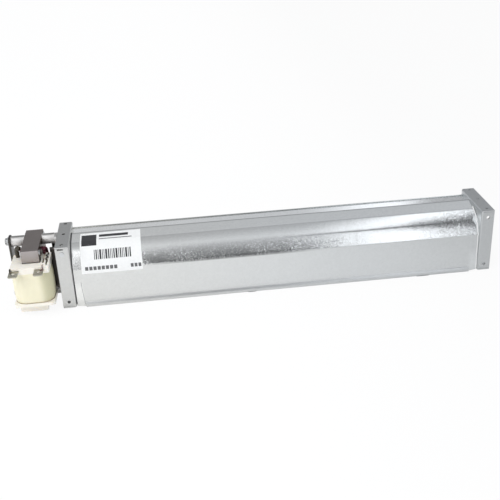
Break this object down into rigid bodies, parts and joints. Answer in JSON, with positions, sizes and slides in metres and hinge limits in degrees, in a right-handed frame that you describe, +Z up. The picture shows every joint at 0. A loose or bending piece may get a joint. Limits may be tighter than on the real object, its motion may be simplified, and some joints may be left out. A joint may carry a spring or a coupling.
{
  "type": "cross flow fan",
  "caption": "Cross flow fan with a long bladed impeller in a folded sheet-metal scroll between two flanged end plates, driven by a shaded-pole motor.",
  "frame": {"origin": "midway between the two end plates, in the plane that they stand on, level with their middle screw holes: the centre of the pattern of base screw holes", "axes": "+X along the impeller away from the motor, +Y from the outlet side to the inlet side, +Z up from the face with the outlet to the roof"},
  "size_m": [0.3514, 0.0635, 0.0499],
  "materials": {
    "galvanised": "bright galvanised sheet with a fine spangle",
    "label_paper": "white satin sticker",
    "zinc_rivet": "zinc plated",
    "blade_aluminium": "plain rolled sheet",
    "turned_steel": "fine turned",
    "dark_screw": "blackened",
    "black_rubber": "matt",
    "sintered_bronze": "porous, oiled",
    "lamination_steel": "stacked sheet, oiled",
    "natural_plastic": "natural moulded nylon",
    "enamelled_copper": "enamelled copper",
    "bracket_steel": "pressed and zinc plated",
    "post_zinc": "bright plated",
    "screw_steel": "zinc plated",
    "felt": "oiled felt",
    "coil_tape": "cream tape over the winding",
    "tinned_brass": "tinned, dull"
  },
  "bodies": {
    "housing": {"motor_side_plate": "galvanised", "bearing_side_plate": "galvanised", "scroll_sheet": "galvanised", "tongue_sheet": "galvanised", "label": "label_paper", "plate_rivets": "zinc_rivet", "idle_grommet": "black_rubber", "idle_bush": "sintered_bronze", "stator_c_frame": "lamination_steel", "coil_core": "lamination_steel", "stack_rivets": "zinc_rivet", "shading_rings": "enamelled_copper", "outer_bearing_bracket": "bracket_steel", "inner_bearing_bracket": "bracket_steel", "outer_bearing": "sintered_bronze", "inner_bearing": "sintered_bronze", "oil_felts": "felt", "bearing_retainers": "bracket_steel", "outer_posts": "post_zinc", "inner_posts": "post_zinc", "frame_washers": "zinc_rivet", "frame_screws": "screw_steel", "coil_winding": "coil_tape", "bobbin": "natural_plastic", "left_terminal": "tinned_brass", "right_terminal": "tinned_brass"},
    "rotor": {"impeller_blades": "blade_aluminium", "drive_disc": "blade_aluminium", "mid_discs": "blade_aluminium", "idle_disc": "blade_aluminium", "drive_hub": "turned_steel", "hub_screw": "dark_screw", "idle_hub": "turned_steel", "idle_stub_shaft": "turned_steel", "motor_shaft": "turned_steel", "rotor_core": "lamination_steel", "rotor_end_rings": "blade_aluminium", "spacer_sleeves": "natural_plastic"}
  },
  "joints": [
    {"name": "rotor_spin", "type": "hinge", "parent": "housing", "child": "rotor", "pos_m": [0, -0.0009, 0.0258], "axis": [1, 0, 0], "continuous": true}
  ]
}
